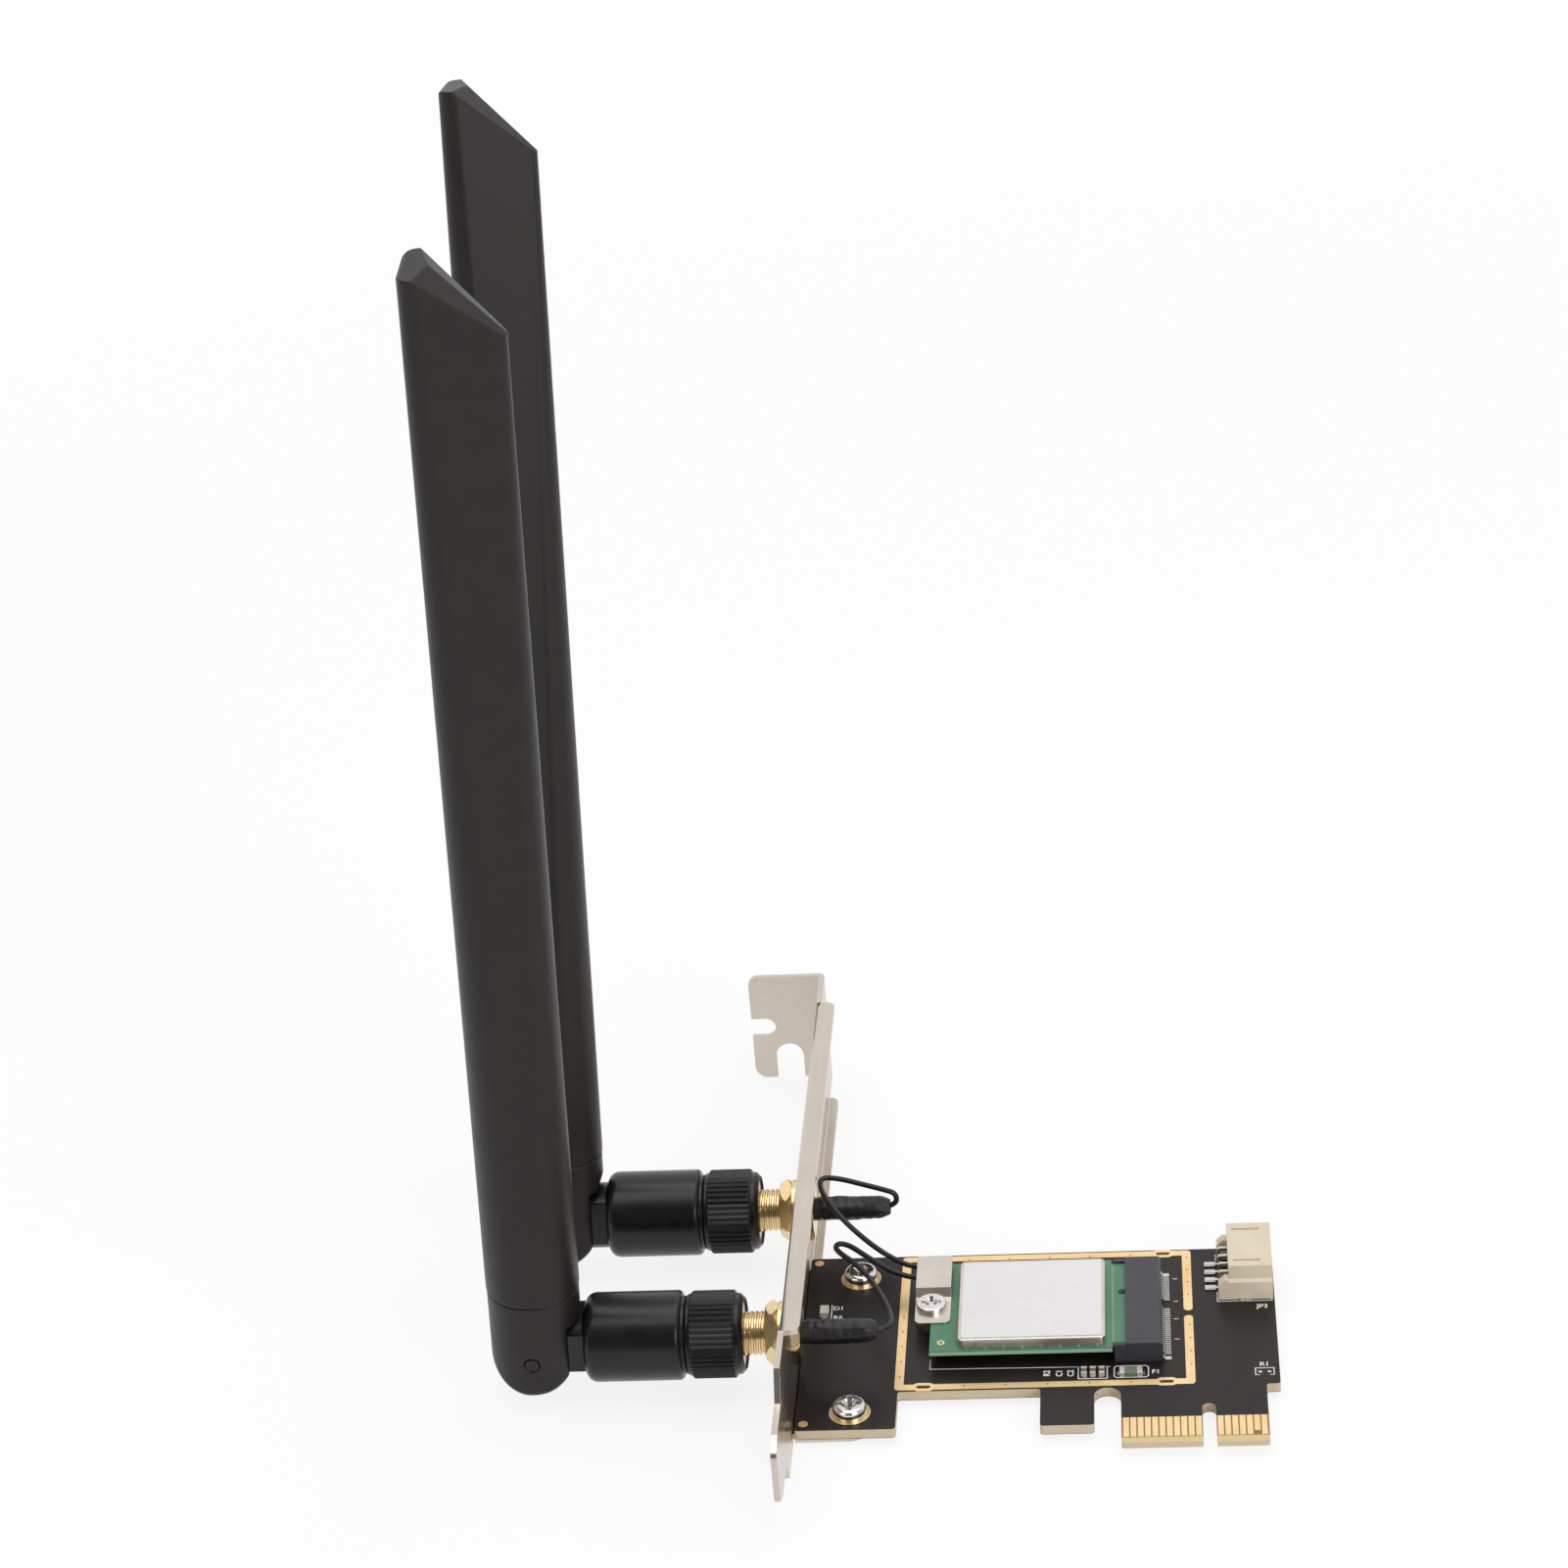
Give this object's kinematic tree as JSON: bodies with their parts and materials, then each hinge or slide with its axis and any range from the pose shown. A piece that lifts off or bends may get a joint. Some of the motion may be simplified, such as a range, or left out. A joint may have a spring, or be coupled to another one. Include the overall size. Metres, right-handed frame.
{
  "type": "pcie wifi card",
  "caption": "Expansion-slot card with a plug-in radio module on a black board, a full-height metal bracket and hinged blade antennas on knurled couplings.",
  "frame": {"origin": "centre of the edge connector's key notch, at the front edge of the contact tongue, on the mid-plane of the board", "axes": "+X from the bracket to the free end of the board, +Y from the contacts towards the bracket tab, +Z out of the component side, along the upright antennas"},
  "size_m": [0.1114, 0.1201, 0.1783],
  "materials": {
    "nickel_steel": "bright nickel plate",
    "black_laminate": "satin solder mask",
    "gold_plate": "satin gold plate",
    "bright_screw": "polished",
    "socket_plastic": "matte",
    "tin_plate": "satin tin plate",
    "green_laminate": "glossy solder mask",
    "shield_nickel": "satin",
    "label_film": "matte printed film",
    "coax_metal": "satin",
    "cable_jacket": "satin jacket",
    "shrink_sleeve": "wrinkled matte",
    "ivory_nylon": "semi-matte",
    "chip_body": "satin ceramic",
    "led_body": "clear-topped",
    "gold_brass": "polished",
    "white_ptfe": "matte",
    "black_abs": "fine satin texture"
  },
  "bodies": {
    "card": {"bracket": "nickel_steel", "circuit_board": "black_laminate", "edge_contacts": "gold_plate", "ground_frame": "gold_plate", "board_screws": "bright_screw", "module_screw": "bright_screw", "m2_socket": "socket_plastic", "m2_contacts": "tin_plate", "usb_header_pins": "tin_plate", "module_board": "green_laminate", "module_shield": "shield_nickel", "module_standoff": "shield_nickel", "plug_clip": "shield_nickel", "module_label": "label_film", "coax_jacks": "coax_metal", "coax_plug_near": "coax_metal", "coax_plug_far": "coax_metal", "pigtail_near": "cable_jacket", "pigtail_far": "cable_jacket", "heat_shrink_near": "shrink_sleeve", "heat_shrink_far": "shrink_sleeve", "usb_header": "ivory_nylon", "chip_passives": "chip_body", "fuse_chip": "chip_body", "status_led": "led_body", "bulkhead_near": "gold_brass", "bulkhead_far": "gold_brass", "lock_washer_near": "gold_brass", "lock_washer_far": "gold_brass", "bulkhead_nut_near": "gold_brass", "bulkhead_nut_far": "gold_brass", "bulkhead_pin_near": "gold_brass", "bulkhead_pin_far": "gold_brass", "bulkhead_insulator_near": "white_ptfe", "bulkhead_insulator_far": "white_ptfe"},
    "near_stem": {"stem_near": "black_abs", "ferrule_near": "gold_brass"},
    "near_blade": {"blade_near": "black_abs", "knuckle_near": "black_abs", "hinge_pin_near": "black_abs", "radiator_near": "gold_brass"},
    "near_nut": {"coupling_sleeve_near": "black_abs", "coupling_insert_near": "gold_brass"},
    "far_stem": {"stem_far": "black_abs", "ferrule_far": "gold_brass"},
    "far_blade": {"blade_far": "black_abs", "knuckle_far": "black_abs", "hinge_pin_far": "black_abs", "radiator_far": "gold_brass"},
    "far_nut": {"coupling_sleeve_far": "black_abs", "coupling_insert_far": "gold_brass"}
  },
  "joints": [
    {"name": "near_swivel", "type": "hinge", "parent": "card", "child": "near_stem", "pos_m": [-0.0735, 0.0182, 0.00757], "axis": [1, 0, 0], "range_deg": [-6.6, 173.4]},
    {"name": "near_tilt", "type": "hinge", "parent": "near_stem", "child": "near_blade", "pos_m": [-0.0948, 0.0182, 0.00757], "axis": [0, -0.9934, -0.1149], "range_deg": [0, 93.2]},
    {"name": "near_nut_turn", "type": "hinge", "parent": "card", "child": "near_nut", "pos_m": [-0.069, 0.0182, 0.00757], "axis": [1, 0, 0], "continuous": true},
    {"name": "far_swivel", "type": "hinge", "parent": "card", "child": "far_stem", "pos_m": [-0.0735, 0.0498, 0.00757], "axis": [-1, 0, 0], "range_deg": [-6.6, 173.4]},
    {"name": "far_tilt", "type": "hinge", "parent": "far_stem", "child": "far_blade", "pos_m": [-0.0948, 0.0498, 0.00757], "axis": [0, -0.9934, 0.1149], "range_deg": [0, 91.55]},
    {"name": "far_nut_turn", "type": "hinge", "parent": "card", "child": "far_nut", "pos_m": [-0.069, 0.0498, 0.00757], "axis": [1, 0, 0], "continuous": true}
  ]
}
